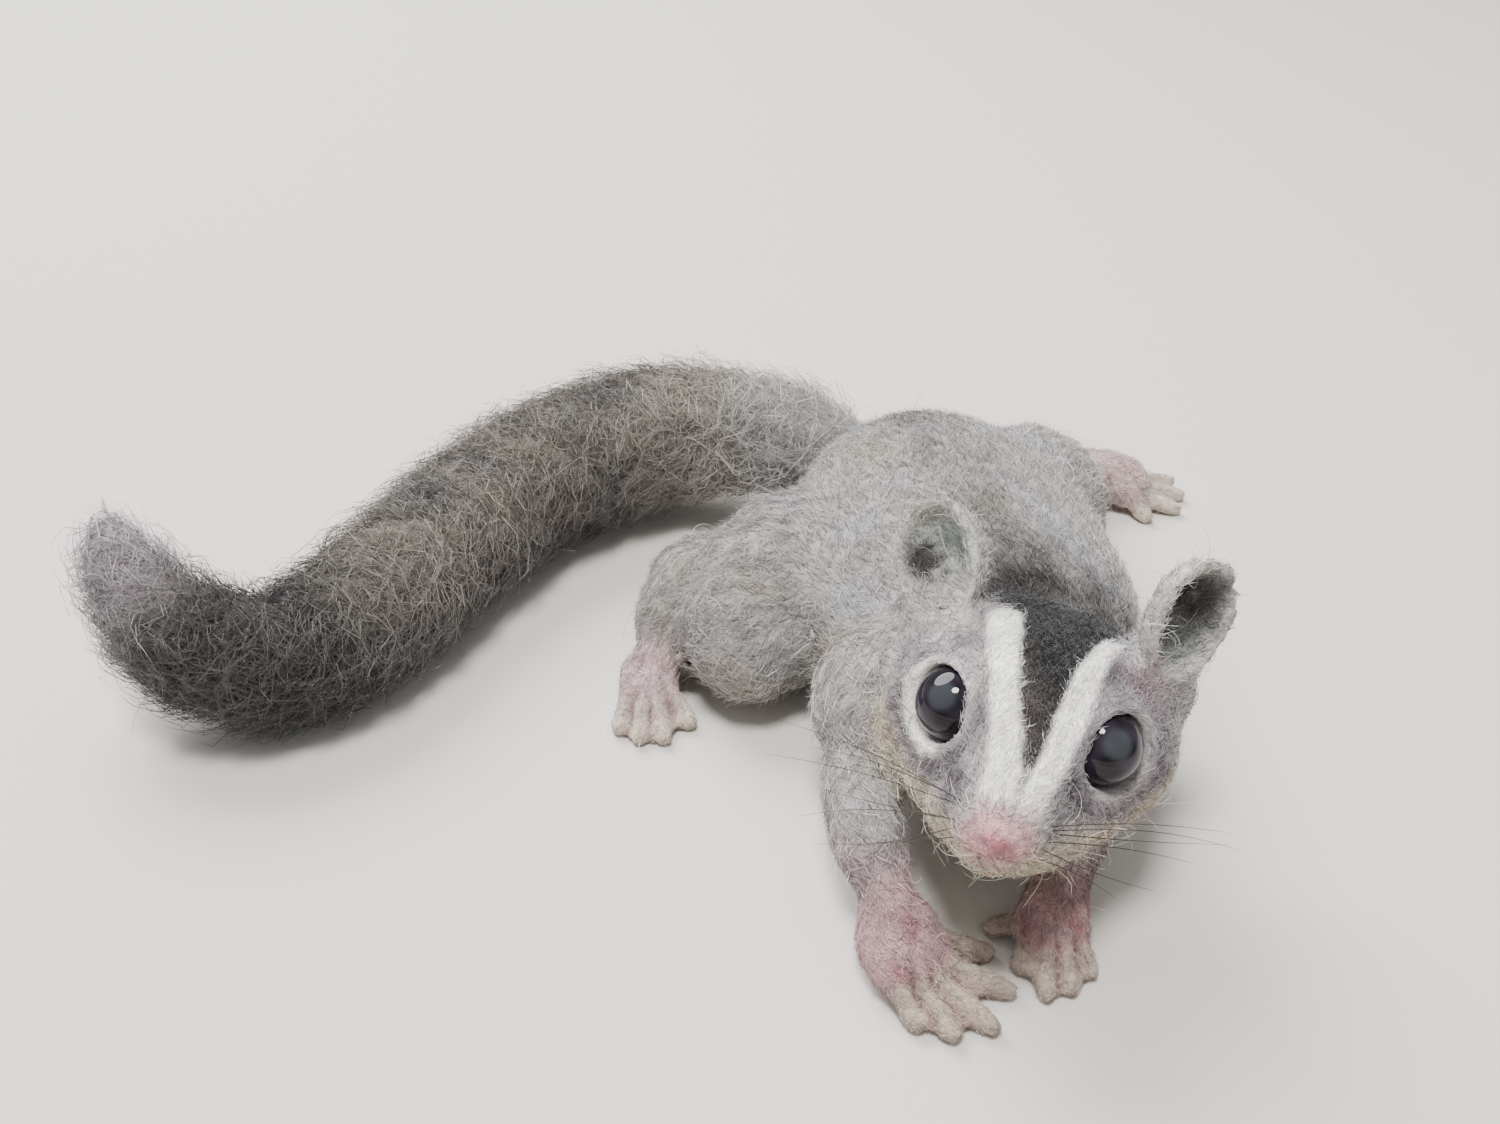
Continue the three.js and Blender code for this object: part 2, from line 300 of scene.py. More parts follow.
def spread(values, edges, rounds, share=0.6):  # evens values out over neighbouring vertices
    values = np.array(values, float)
    wide = values.reshape(len(values), -1)
    ends = np.concatenate([edges[:, 0], edges[:, 1]])
    others = np.concatenate([edges[:, 1], edges[:, 0]])
    counts = np.maximum(np.bincount(ends, minlength=len(wide)), 1)[:, None]
    for _ in range(rounds):
        mean = np.stack([np.bincount(ends, wide[others, k], len(wide)) for k in range(wide.shape[1])], 1)
        wide = wide + (mean / counts - wide) * share
    return wide.reshape(values.shape)


print("skin: growing the flesh together")
roughPoints, roughFaces, faceOwners = grownTogether()
skinMesh = remeshed(newMesh("rough", roughPoints, roughFaces))
nodeTree = BVHTree.FromPolygons(roughPoints.tolist(), roughFaces.tolist())
skinPoints = readPoints(skinMesh)
skinEdges = readArray(skinMesh.edges, "vertices", 2, np.int32)
skinOwners = [faceOwners[nodeTree.find_nearest(Vector(p))[2]] for p in skinPoints.tolist()]
skinKinds = np.array([kindOf(name) for name in skinOwners])
lieOfNode = layNodes()

# every vertex takes its node's kind and lie, evened out over the joins
skinLies = spread(np.array([lieOfNode[name] for name in skinOwners]), skinEdges, skinSettings["spread"] * 2)
coatDepth = spread([kinds[k]["coat"] for k in skinKinds], skinEdges, skinSettings["spread"] // 2)
isTail = spread(skinKinds == "tail", skinEdges, skinSettings["spread"])
isPaw = spread((skinKinds == "paw") | (skinKinds == "digit"), skinEdges, 16)
isDigit = spread(skinKinds == "digit", skinEdges, 4)
digitTone = spread(skinKinds == "digit", skinEdges, 14)
isNose = spread(skinKinds == "nose", skinEdges, 3)
isEar = spread(skinKinds == "ear", skinEdges, 4)
isHead = spread((skinKinds == "head") | (skinKinds == "nose"), skinEdges, 10)
print("skin:", len(skinPoints), "vertices,", len(skinMesh.polygons), "faces")


def evened(points, rounds):  # smoothing that gives back what it shrinks
    for _ in range(rounds):
        points = spread(points, skinEdges, 1, 0.6)
        points = spread(points, skinEdges, 1, -0.62)
    return spread(points, skinEdges, 1, 0.5)


def creasesFilled(points):  # fills the folds between neighbouring forms and leaves the rest as it is
    heavy = spread(points, skinEdges, skinSettings["filling"])
    writePoints(skinMesh, points)
    normals = readNormals(skinMesh)
    lift = np.clip(((heavy - points) * normals).sum(1), 0, skinSettings["mostFilled"])
    local = onHead(points)
    clear = (1 - between(0.02, 0.4, isDigit)) * (1 - isEar * between(5, 8, local[:, 2]))
    clear = clear * (1 - isHead * (1 - between(8, 12, local[:, 1])))
    return points + normals * (spread(lift, skinEdges, 4) * skinSettings["fillShare"] * clear)[:, None]


smooth = creasesFilled(spread(skinPoints, skinEdges, skinSettings["smoothing"]))
fine = evened(skinPoints, skinSettings["fineSmoothing"])
earTop = between(4.5, 7.5, onHead(skinPoints)[:, 2])
keep = np.maximum(between(0.02, 0.35, isDigit), between(0.2, 0.6, isEar) * earTop)[:, None]
skinPoints = smooth * (1 - keep) + fine * keep
writePoints(skinMesh, skinPoints)


# the face: raised white stripes, a lid round each eye, nostrils, a mouth line and a cleft above it

stripes = {
    "backwards": [-14, -11, -8, -3, 3.4, 8, 12.5],  # places along the head
    "middleRight": [-1.3, -1.2, -1.8, -3.4, -4.9, -5.6, -6.2],
    "middleLeft": [2.6, 3.2, 4, 4.8, 5.5, 6.5, 7.7],
    "halfRight": [1.9, 1.8, 1.7, 1.6, 1.7, 2.0, 2.3],
    "halfLeft": [1.2, 1.3, 1.4, 1.6, 1.4, 1.2, 1.0],
    "raised": 0.75, "front": -13.5, "back": 12,
}


def stripeMask(local, soften=1.0):
    total = np.zeros(len(local))
    front, back, y = stripes["front"], stripes["back"], local[:, 1]
    along = between(front - 2, front, y) * (1 - between(back - 1, back + 2, y))
    for side in ("Right", "Left"):
        middle = np.interp(y, stripes["backwards"], stripes["middle" + side])
        half = np.interp(y, stripes["backwards"], stripes["half" + side])
        across = 1 - between(half - 0.55 * soften, half + 0.75 * soften, np.abs(local[:, 0] - middle))
        total = np.maximum(total, across * along * (local[:, 2] > -5))
    return total


def eyeDistances(points):
    # distance from each eye's opening along its face, and how far the point stands in front of it
    found = {}
    for side in (1, -1):
        way = eyeWays[side]
        apart = points - eyeOpenings[side]
        ahead = apart @ way
        found[side] = (np.linalg.norm(apart - ahead[:, None] * way, axis=1), ahead)
    return found


def sinkCoat(points, normals):  # room for the wool, but the lids stay close round the glass
    sink = skinSettings["swell"] + coatDepth
    for away, ahead in eyeDistances(points).values():
        lid = np.exp(-((away - face["rimRadius"]) / 2.0) ** 4) * (np.abs(ahead) < 4.5)
        sink = sink * (1 - 0.97 * lid * isHead)
    return points - normals * sink[:, None]


def shapeFace(points, normals):
    local = onHead(points)
    points = points + normals * (stripeMask(local) * stripes["raised"] * isHead)[:, None]
    for away, ahead in eyeDistances(points).values():
        near = isHead * (np.abs(ahead) < 6)
        fold = hill(away - face["rimRadius"], face["foldOut"], 0.8)
        points = points - normals * (fold * near * 0.3)[:, None]
    x, y, z = face["nostril"]
    for side in (1, -1):
        nostril = np.array([x + side * face["nostrilApart"], y, z])
        apart = np.linalg.norm((local - nostril) / [1.0, 2.0, 0.8], axis=1)
        points = points - normals * (hill(apart) * 0.9)[:, None]
    front = 1 - between(-13, -8, local[:, 1])
    level = local[:, 2] - face["mouthLevel"] + np.abs(local[:, 0]) * 0.12
    groove = hill(level, 0, 0.45) * front * isHead
    cleft = hill(local[:, 0], 0.1, 0.45) * front * (local[:, 2] < -7) * (local[:, 2] > -9.6)
    points = points - normals * ((groove * 0.55 + cleft * 0.5) * isHead)[:, None]
    for side, (away, ahead) in eyeDistances(points).items():  # a clean round lid
        apart = points - eyeOpenings[side]
        apart = apart - ahead[:, None] * eyeWays[side]
        push = np.maximum(face["rimRadius"] - away, 0) * (ahead > -1.4) * (ahead < 5)
        points = points + unit(apart) * push[:, None]
    lumps = ripples(points, 7.5, 5) * 0.22 + ripples(points, 3.2, 6) * 0.1 * (1 - stripeMask(local))
    for away, ahead in eyeDistances(points).values():
        lumps = lumps * np.where(np.abs(ahead) < 5, between(5, 7, away), 1)
    return points + normals * (lumps * (1 - isDigit) * (1 + isTail))[:, None]


# each digit's line, from its tip over the knuckle towards the middle of its hand or foot

def digitLines():
    lines = {}
    for name in digitNodes:
        hold = holdOf(name)
        tip, middle = endOf(name, hold), middleOf(name)
        knuckle = 2 * middle - tip
        lines.setdefault(hold, []).append([tip, knuckle, knuckle + (middleOf(hold) - knuckle) * 0.55])
    return lines


holdLines = digitLines()


def digitFolds(points):  # 1 in the folds between neighbouring digits and 1 along the ridges over them
    folds, ridges = np.zeros(len(points)), np.zeros(len(points))
    for hold, lines in holdLines.items():
        near = np.flatnonzero(np.linalg.norm(points - middleOf(hold), axis=1) < 17)
        place, gaps = points[near, :2], []
        for line in lines:
            best = np.full(len(near), 99.0)
            for a, b in zip(line[:-1], line[1:]):
                a, b = a[:2], b[:2]
                share = np.clip(((place - a) @ (b - a)) / ((b - a) @ (b - a)), 0, 1)
                best = np.minimum(best, np.linalg.norm(place - a - share[:, None] * (b - a), axis=1))
            gaps.append(best)
        first, second = np.sort(np.array(gaps), axis=0)[:2]
        reach = 1 - between(1.8, 3.0, first)
        reach = reach * between(3, 6.5, np.linalg.norm(place - middleOf(hold)[:2], axis=1))
        folds[near] = hill(second - first, 0, 0.75) * reach
        ridges[near] = hill(first, 0, 0.9)
    return folds, ridges


def shapeDigits(points, normals):
    folds, ridges = digitFolds(points)
    amount = (ridges * 0.35 - folds * 0.75) * between(0.35, 0.8, isPaw) * between(0.1, 0.6, normals[:, 2])
    return points + normals * amount[:, None]


skinPoints = sinkCoat(skinPoints, readNormals(skinMesh))
writePoints(skinMesh, skinPoints)
skinPoints = shapeFace(skinPoints, readNormals(skinMesh))
writePoints(skinMesh, skinPoints)
skinPoints = shapeDigits(skinPoints, readNormals(skinMesh))
skinPoints[:, 2] = np.maximum(skinPoints[:, 2], skinSettings["floorGap"])
writePoints(skinMesh, skinPoints)
skinNormals = readNormals(skinMesh)
print("skin: face shaped")


# markings, painted shade and painted light: one painter for skin and wool, by place on the body

wool = {
    "grey": shade("b0adac"), "warm": shade("aaa198"), "blue": shade("a6a7ad"), "spine": shade("676560"),
    "black": shade("0e0c0d"), "white": shade("fdfaf3"), "mauve": shade("796e75"), "cream": shade("dacdb4"),
    "pink": shade("d6a5aa"), "red": shade("9b5562"), "earDark": shade("332f2b"), "earRim": shade("cfccc9"),
    "mint": shade("b9c6be"), "charcoal": shade("514b48"), "sootAndShade": shade("1c1a19"), "strawAndToplight": shade("958c7f"),
    "tip": shade("968d91"), "pawPink": shade("dbbfbd"), "pawPale": shade("dacdbc"),
    "handPink": shade("b08d8f"), "fingerShadedPale": shade("b9a89c"), "underShade": shade("958b88"),
    "wrist": shade("aa979b"), "plum": shade("50454d"), "wedge": shade("3a3331"), "fold": shade("94666b"),
}


def blend(colours, name, amount):
    amount = np.clip(amount, 0, 1)[:, None]
    return colours * (1 - amount) + wool[name] * amount


def nearNode(points, name, reach, offset=(0, 0, 0)):
    apart = np.linalg.norm(points - middleOf(name) - np.array(offset), axis=1)
    return 1 - between(reach * 0.4, reach, apart)


def alongPath(points, names, half):  # near a line through the nodes' middles, seen from above
    stops = np.array([middleOf(name)[:2] for name in names])
    best = np.full(len(points), 1e9)
    for a, b in zip(stops[:-1], stops[1:]):
        share = np.clip(((points[:, :2] - a) @ (b - a)) / ((b - a) @ (b - a)), 0, 1)
        best = np.minimum(best, np.linalg.norm(points[:, :2] - a - share[:, None] * (b - a), axis=1))
    return 1 - between(half * 0.3, half, best)


def paint(points, normals, parts):
    # parts holds how much each point is head, nose, ear, paw, digit and tail
    colours = np.repeat(wool["grey"][None], len(points), 0)
    patch = ripples(points, 16, 31)
    colours = blend(colours, "warm", 0.45 + 0.4 * patch)
    bluish = 0.1 + 0.3 * ripples(points, 22, 32)
    colours = blend(colours, "blue", bluish * between(-0.2, 0.7, normals[:, 2]))
    body = 1 - np.maximum.reduce([parts["head"], parts["tail"], parts["paw"], parts["ear"]])
    spine = alongPath(points, ["neck", "chest", "loin", "rump"], 9.5) * between(0.3, 0.8, normals[:, 2])
    nape = nearNode(points, "neck", 26, (-3, 2, 8))
    colours = blend(colours, "spine", spine * body * (0.34 + 0.16 * patch + 0.4 * nape))
    # painted shade: darker grey near the floor and in a patch in front of each knee, for the shade under the
    # body
    under = 1 - between(3, 13, points[:, 2])
    colours = blend(colours, "underShade", under * body * 0.55)
    for name in ("thigh_right", "thigh_left"):
        colours = blend(colours, "underShade", nearNode(points, name, 11, (-4, -9, -2)) * body * 0.5)
    colours = paintTail(colours, points, normals, parts["tail"], patch)
    colours = paintFace(colours, points, normals, parts)
    return paintPaws(colours, points, parts)


def paintTail(colours, points, normals, tail, patch):
    colours = blend(colours, "charcoal", tail * 0.9)
    # straw on the tail's upper side: partly its own tone, partly painted light falling on the top
    colours = blend(colours, "strawAndToplight", tail * between(-0.1, 0.9, normals[:, 2]) * (0.45 + 0.3 * patch))
    bend = nearNode(points, "tail_4", 30, (4, -2, -4))
    colours = blend(colours, "sootAndShade", tail * bend * 0.85)
    # painted shade: the tail darker close to the floor
    colours = blend(colours, "sootAndShade", tail * (1 - between(2, 13, points[:, 2])) * 0.7)
    colours = blend(colours, "warm", tail * nearNode(points, "tail_1", 46, (10, -6, 4)) * 0.6)
    colours = blend(colours, "grey", tail * nearNode(points, "tail_1", 26, (10, -8, 4)) * 0.8)
    tipWay = unit(endOf("tail_5", "tail_4") - middleOf("tail_4"))
    out = (points - middleOf("tail_5")) @ tipWay
    beyond = 1 - between(-10, 3, points[:, 0] - middleOf("tail_4")[0])
    return blend(colours, "tip", tail * between(-19, 2, out + 2.5 * patch) * beyond)


# spots of colour on the face, in the head's axes: place, reach, strength
plumSpots = [((-10.5, -4.6, -6), (3.4, 3.2, 2.2), 0.85), ((-6, -10, -3.6), (2.2, 2.6, 1.8), 0.7),
             ((7, -10.2, -3.2), (2.0, 2.6, 2.0), 0.75), ((10, -7, -5), (2.6, 2.6, 1.8), 0.5)]
redSpots = [(-1.9, -18.4, -4.9), (0.9, -18.7, -5), (2.3, -18.3, -6.8), (-2, -18.5, -6.2), (0.2, -17.6, -9.4)]
earOpenings = {"ear_left": (0.68, -0.72, -0.05), "ear_right": (-0.5, -0.85, 0.2)}


def awayFrom(points, place):
    return np.linalg.norm(points - np.array(place), axis=1)


def paintFace(colours, points, normals, parts):
    local = onHead(points)
    head, patch = parts["head"], ripples(points, 6, 41)
    x, y, z = local.T
    colours = blend(colours, "blue", head * (0.2 + 0.3 * patch))
    colours = blend(colours, "mauve", head * (0.4 + 0.35 * patch) * (1 - between(8, 18, y)))
    # cream cheeks and jaw
    jaw = 1 - between(-9.5, -4.5, z + 0.25 * patch - 0.12 * (y + 8))
    colours = blend(colours, "cream", head * jaw * (0.8 + 0.15 * patch))
    # dark mauve in front of and below each eye
    for away, ahead in eyeDistances(points).values():
        ring = hill(away, 7.2, 2.2) * head * (np.abs(ahead) < 7)
        below = 1 - between(-5, 1.5, z)
        colours = blend(colours, "mauve", ring * (0.45 + 0.5 * below))
        front = 1 - between(-9, -4, y)
        colours = blend(colours, "spine", ring * below * front * 0.75)
    # plum patches: under the right eye, and beside the muzzle on the left
    for spot, size, amount in plumSpots:
        near = hill(np.linalg.norm((local - np.array(spot)) / np.array(size), axis=1))
        colours = blend(colours, "plum", near * head * (amount + 0.2 * patch))
    # crown: black between the stripes, widening over the top and fading at the nape
    middle = np.interp(y, [-11, -7.4, -3, 4, 12, 30], [1.9, 1.3, 0.7, 0.7, 1.2, 0])
    half = np.interp(y, [-12, -8, -3, 3.5, 9, 14, 22, 34], [0.8, 1.6, 2.6, 4, 5.4, 7.8, 10, 10])
    top = between(-0.2, 0.4, (normals @ headTurn)[:, 2])
    ragged = np.interp(y, [0, 10, 20], [0.2, 0.8, 1.2]) * patch
    crown = (1 - between(half - 1.2, half + 1.8, np.abs(x - middle + ragged))) * between(-11, -9.6, y)
    crown = crown * (1 - between(13, 44, y + 3 * patch)) * top * np.clip(head + (y > 12), 0, 1)
    crown = crown * between(-6, 0, z) * (1 - parts["ear"])
    colours = blend(colours, "wedge", crown)
    colours = blend(colours, "black", crown * between(-5, 5, y + 1.5 * (x - 0.5)))
    stray = (ripples(points, 2.2, 43) * between(6, 14, y))[:, None] * (0.5, 1.1, 0)
    white = stripeMask(local + stray, 0.8) * head
    colours = blend(colours, "white", white * 1.05)
    # the muzzle's white bridge, then its pink end
    bridge = hill(x, 0.8, 3.6) * hill(y, -13, 1.8) * (z > -6) * head
    colours = blend(colours, "white", bridge * 0.8)
    pink = (1 - between(-15.6, -13.2, y + 0.35 * patch)) * (1 - between(3.2, 5.6, np.abs(x - 0.2)))
    pink = np.maximum(pink * (z > -11.5), parts["nose"] * 0.9)
    colours = blend(colours, "pink", pink * np.clip(head + 0.1, 0, 1))
    for spot in redSpots:
        colours = blend(colours, "red", hill(awayFrom(local, spot), 0, 1.5))
    # rims: white and thick round the right eye's outer side, greyer round the left
    for side, (away, ahead) in eyeDistances(points).items():
        rim = hill(away, 5.3, 0.95) * (np.abs(ahead) < 5)
        outward = headTurn @ np.array([side * 0.7, 0.3, -0.65])
        outer = between(-0.2, 0.6, (points - eyeOpenings[side]) @ outward / 5)
        strength = 0.35 + 0.75 * outer if side < 0 else 0.1 + 0.35 * outer
        colours = blend(colours, "white" if side < 0 else "earRim", rim * head * strength)
        colours = blend(colours, "black", (1 - between(4.3, 4.75, away)) * head * (np.abs(ahead) < 4) * 0.8)
    earFoot = hill(awayFrom(local, (-13.6, 10.4, 6)), 0, 3.6)
    colours = blend(colours, "earRim", earFoot * (0.6 + 0.2 * patch))
    # ears: fuzzy pale rims, the left hollow dark, the right one dark in a broken patch only
    for name, way in earOpenings.items():
        opening = headTurn @ unit(np.array(way))
        apart = points - middleOf(name)
        flat = np.linalg.norm(apart - (apart @ opening)[:, None] * opening, axis=1)
        inside = between(0.0, 0.5, normals @ opening) * (1 - between(4.6, 6.8, flat + 0.6 * patch))
        inside = inside * (1 - between(-0.4, 0.6, apart @ opening)) * parts["ear"]
        colours = blend(colours, "earRim", parts["ear"] * (flat < 12) * (0.45 + 0.25 * patch))
        if name == "ear_left":
            colours = blend(colours, "earDark", inside * (0.85 + 0.15 * patch))
            colours = blend(colours, "mint", inside * between(1, 5, -apart[:, 2]) * 0.25)
            colours = blend(colours, "red", hill(awayFrom(local, (13.4, 8.5, 6.5)), 0, 3.2) * 0.35)
        else:
            colours = blend(colours, "mint", inside * between(-2, 4, apart @ np.array([0.5, 0.5, 0.7])) * 0.7)
            spot = np.linalg.norm(apart @ np.array([[1, 0], [0, 0.588], [0, 0.809]]) - (-1.9, 0.2), axis=1)
            dark = inside * (1 - between(1.8, 3.8, spot + 0.9 * ripples(points, 2.6, 42)))
            colours = blend(colours, "earDark", dark * 0.9)
    return colours


def paintPaws(colours, points, parts):
    patch = ripples(points, 3.4, 51)
    for hand in ("hand_right", "hand_left"):
        wrist = nearNode(points, hand, 17, (0, 3, 2)) * (points[:, 2] < 14) * (1 - parts["head"])
        colours = blend(colours, "wrist", wrist * 0.75)
    colours = blend(colours, "pawPink", parts["paw"] * (0.7 + 0.3 * patch))
    # painted shade: the front paws and their digits darker than the hind ones, for the light that falls off
    # towards the front
    front = 1 - between(-32, -24, points[:, 1])
    colours = blend(colours, "handPink", parts["paw"] * front * 0.85)
    reddish = parts["paw"] * (0.02 + 0.3 * ripples(points, 5, 52))
    colours = blend(colours, "red", reddish * (1 - parts["digit"]))
    folds, ridges = digitFolds(points)
    colours = blend(colours, "pawPale", parts["digit"] * (0.66 + 0.3 * patch))
    colours = blend(colours, "pawPale", ridges * parts["paw"] * between(0.02, 0.3, parts["digit"]) * 0.6)
    colours = blend(colours, "fingerShadedPale", between(0.05, 0.5, parts["digit"]) * front * 0.8)
    # painted shade: a darker reddish pink in the folds between the digits
    return blend(colours, "fold", folds * parts["paw"] * (0.62 + 0.25 * patch))


skinParts = {"head": isHead, "nose": isNose, "ear": isEar, "paw": isPaw, "digit": digitTone, "tail": isTail}
skinColours = paint(skinPoints, skinNormals, skinParts)


def addColours(mesh, name, colours):
    layer = mesh.color_attributes.new(name, "FLOAT_COLOR", "POINT")
    full = np.ones((len(mesh.vertices), 4), np.float32)
    full[:, :3] = colours
    layer.data.foreach_set("color", full.ravel())


addColours(skinMesh, "wool", skinColours)
print("skin: marked")


# materials

feltFinish = {"roughness": 0.92, "sheen": 0.18, "specular": 0.2, "mottle": 0.3, "fibreBump": 0.0005,
              "lumpBump": 0.0006, "warpScale": 240.0, "fibreScale": 1500.0, "mottleScale": 420.0}
tuftFinish = {"specular": 0.25, "fleckScale": 900.0, "fleck": 0.15}


def newMaterial(name):
    material = bpy.data.materials.new(name)
    material.use_nodes = True
    tree = material.node_tree
    return material, tree, tree.nodes["Principled BSDF"]


def setSockets(node, **sockets):
    for name, value in sockets.items():
        node.inputs[name.replace("_", " ")].default_value = value


def addNode(tree, kind, **sockets):
    node = tree.nodes.new("ShaderNode" + kind)
    setSockets(node, **sockets)
    return node


def join(tree, source, output, target, socket):
    tree.links.new(source.outputs[output], target.inputs[socket])


def tintWool(tree, shader, noise, low, high):  # the painted colour, made darker and lighter by a noise
    colour = tree.nodes.new("ShaderNodeAttribute")
    colour.attribute_name = "wool"
    level = addNode(tree, "MapRange", From_Min=0.3, From_Max=0.7, To_Min=low, To_Max=high)
    tint = tree.nodes.new("ShaderNodeVectorMath")
    tint.operation = "SCALE"
    join(tree, noise, "Fac", level, "Value")
    join(tree, colour, "Color", tint, 0)
    join(tree, level, "Result", tint, "Scale")
    join(tree, tint, "Vector", shader, "Base Color")


def feltMaterial():
    material, tree, shader = newMaterial("felt")
    setSockets(shader, Roughness=feltFinish["roughness"], Sheen_Weight=feltFinish["sheen"],
               Specular_IOR_Level=feltFinish["specular"])
    place = tree.nodes.new("ShaderNodeTexCoord")
    warp = addNode(tree, "TexNoise", Scale=feltFinish["warpScale"], Detail=2.0)
    fibres = addNode(tree, "TexNoise", Scale=feltFinish["fibreScale"], Detail=3.0, Distortion=1.6)
    mottle = addNode(tree, "TexNoise", Scale=feltFinish["mottleScale"], Detail=3.0, Roughness=0.65)
    for node in (warp, mottle, fibres):
        join(tree, place, "Object", node, "Vector")
    tintWool(tree, shader, mottle, 1 - feltFinish["mottle"], 1 + feltFinish["mottle"] * 0.6)
    lump = addNode(tree, "Bump", Strength=0.6, Distance=feltFinish["lumpBump"])
    hair = addNode(tree, "Bump", Strength=0.9, Distance=feltFinish["fibreBump"])
    join(tree, warp, "Fac", lump, "Height")
    join(tree, fibres, "Fac", hair, "Height")
    join(tree, lump, "Normal", hair, "Normal")
    join(tree, hair, "Normal", shader, "Normal")
    return material


def woolMaterial(name, roughness, sheen):
    material, tree, shader = newMaterial(name)
    setSockets(shader, Roughness=roughness, Sheen_Weight=sheen, Specular_IOR_Level=tuftFinish["specular"])
    place = tree.nodes.new("ShaderNodeTexCoord")
    fleck = addNode(tree, "TexNoise", Scale=tuftFinish["fleckScale"], Detail=2.0)
    join(tree, place, "Object", fleck, "Vector")
    tintWool(tree, shader, fleck, 1 - tuftFinish["fleck"], 1 + tuftFinish["fleck"])
    return material


def addPiece(name, mesh, material):
    thing = linked(name, mesh)
    mesh.materials.clear()
    mesh.materials.append(material)
    mesh.polygons.foreach_set("use_smooth", np.ones(len(mesh.polygons), bool))
    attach(thing, "root")
    return thing


skin = addPiece("skin", skinMesh, feltMaterial())
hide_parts(*fleshNodes)

# the skin's unwrap, which every tuft takes its patch from
bpy.context.view_layer.objects.active = skin
skin.select_set(True)
skinMesh.uv_layers.new(name="OFBake")
bpy.ops.object.mode_set(mode="EDIT")
bpy.ops.mesh.select_all(action="SELECT")
bpy.ops.uv.smart_project(angle_limit=math.radians(66), island_margin=0.002)
bpy.ops.object.mode_set(mode="OBJECT")
skinMesh = skin.data
print("skin: unwrapped")


# wool: thin three-sided tufts rooted in the skin

# each tuft's colour runs from painted shade at its root to painted light at its tip
tufts = {"mostTriangles": 190000, "patch": 0.003, "rootPaintedShade": 0.78, "tipPaintedLight": 0.34, "darkest": 0.002,
         "lightest": 0.95}

skinMesh.calc_loop_triangles()
rootTriangles = readArray(skinMesh.loop_triangles, "vertices", 3, np.int32)
rootLoops = readArray(skinMesh.loop_triangles, "loops", 3, np.int32)
loopPlaces = readArray(skinMesh.uv_layers["OFBake"].uv, "vector", 2, np.float32)
cornerPoints = skinPoints[rootTriangles]
triangleAreas = np.linalg.norm(np.cross(cornerPoints[:, 1] - cornerPoints[:, 0],
                                        cornerPoints[:, 2] - cornerPoints[:, 0]), axis=1) / 2
skinTree = BVHTree.FromPolygons(skinPoints.tolist(), rootTriangles.tolist())


def densityOf(word):
    return spread([kinds[k][word] for k in skinKinds], skinEdges, 6)


def sowRoots(count, density, seed):  # roots spread over the skin by density, one draw each
    draw = np.random.default_rng(seed)
    for away, ahead in eyeDistances(skinPoints).values():  # none where the glass shows
        density = density * (1 - (1 - between(4.7, 5.3, away)) * (np.abs(ahead) < 5))
    share = np.cumsum(triangleAreas * density[rootTriangles].mean(1))
    picks = np.searchsorted(share, (np.arange(count) + draw.random(count)) / count * share[-1])
    picks = np.minimum(picks, len(rootTriangles) - 1)
    a, b = draw.random(count), draw.random(count)
    over = a + b > 1
    a, b = np.where(over, 1 - a, a), np.where(over, 1 - b, b)
    weights = np.stack([1 - a - b, a, b], 1)[:, :, None]
    corner = rootTriangles[picks]

    def mix(values):
        return (np.reshape(values, (len(values), -1))[corner] * weights).sum(1)

    roots = {"at": mix(skinPoints), "normal": unit(mix(skinNormals)), "lie": mix(skinLies),
             "uv": (loopPlaces[rootLoops[picks]] * weights).sum(1), "draw": draw}
    roots["parts"] = {name: mix(values)[:, 0] for name, values in skinParts.items()}
    return roots


def combed(roots, swirlSize, swirl, scatter, seed):
    # the lie turned in the skin's plane by slow swirls and a scatter of each tuft's own
    normal, draw = roots["normal"], roots["draw"]
    lie, head = roots["lie"], roots["parts"]["head"]
    for side in (1, -1):  # wool parts round the eyes
        apart = roots["at"] - eyeOpenings[side]
        away = np.linalg.norm(apart, axis=1)
        near = hill(away, 0, 9)[:, None] * head[:, None]
        lie = lie + unit(apart) * near * 1.2
        ring = unit(np.cross(eyeWays[side], apart))
        ring = ring * np.sign((ring * lie).sum(1))[:, None]
        edge = hill(away, 5.4, 1.5)[:, None] * head[:, None]
        lie = lie * (1 - edge) + ring * edge * 2
    lie = unit(lie - (lie * normal).sum(1)[:, None] * normal)
    across = np.cross(normal, lie)
    turn = ripples(roots["at"], swirlSize, seed) * swirl + draw.normal(size=len(normal)) * scatter
    local = onHead(roots["at"])
    brow = (1 - between(6.5, 9, np.abs(local[:, 0] - 0.6))) * (local[:, 1] < 12) * (local[:, 2] > -3)
    turn = turn * (1 - 0.75 * brow * head)
    return lie * np.cos(turn)[:, None] + across * np.sin(turn)[:, None]


def drape(points):  # the nearest places on the skin and the normals there
    places, normals = np.empty_like(points), np.empty_like(points)
    for i, point in enumerate(points.tolist()):
        place, normal, _, _ = skinTree.find_nearest(point)
        places[i] = place
        normals[i] = normal
    return places, normals


